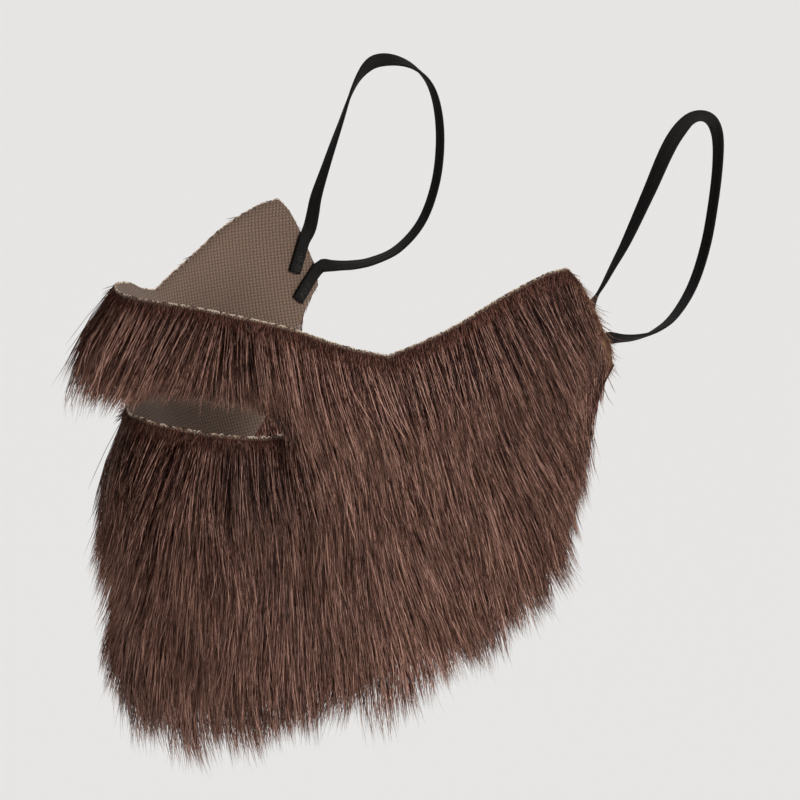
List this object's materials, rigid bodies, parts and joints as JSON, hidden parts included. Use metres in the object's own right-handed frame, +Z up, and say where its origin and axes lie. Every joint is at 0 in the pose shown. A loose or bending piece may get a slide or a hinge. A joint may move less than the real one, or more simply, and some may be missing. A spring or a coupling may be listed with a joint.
{
  "type": "fake beard",
  "caption": "Bent faux-fur fake beard with a moustache band, mouth slit, V notches under the cheekbones, a pointed fringe of fur locks and an elastic ear loop on each side.",
  "frame": {"origin": "skin side of the cloth, at the middle of the moustache band's top edge, where it sits on the wearer's upper lip", "axes": "+Z up, -Y the way the wearer looks, +X the wearer's left"},
  "size_m": [0.1548, 0.1626, 0.1734],
  "materials": {
    "knit_backing": "matt knitted ground cloth, dark brown",
    "fur": "long-pile faux fur, dark brown with mauve-brown mids and tan tips",
    "elastic": "woven ribbed elastic, black"
  },
  "bodies": {
    "root": {"backing_cloth": "knit_backing", "fur_pile": "fur", "ear_loop_left": "elastic", "ear_loop_right": "elastic"}
  },
  "joints": []
}
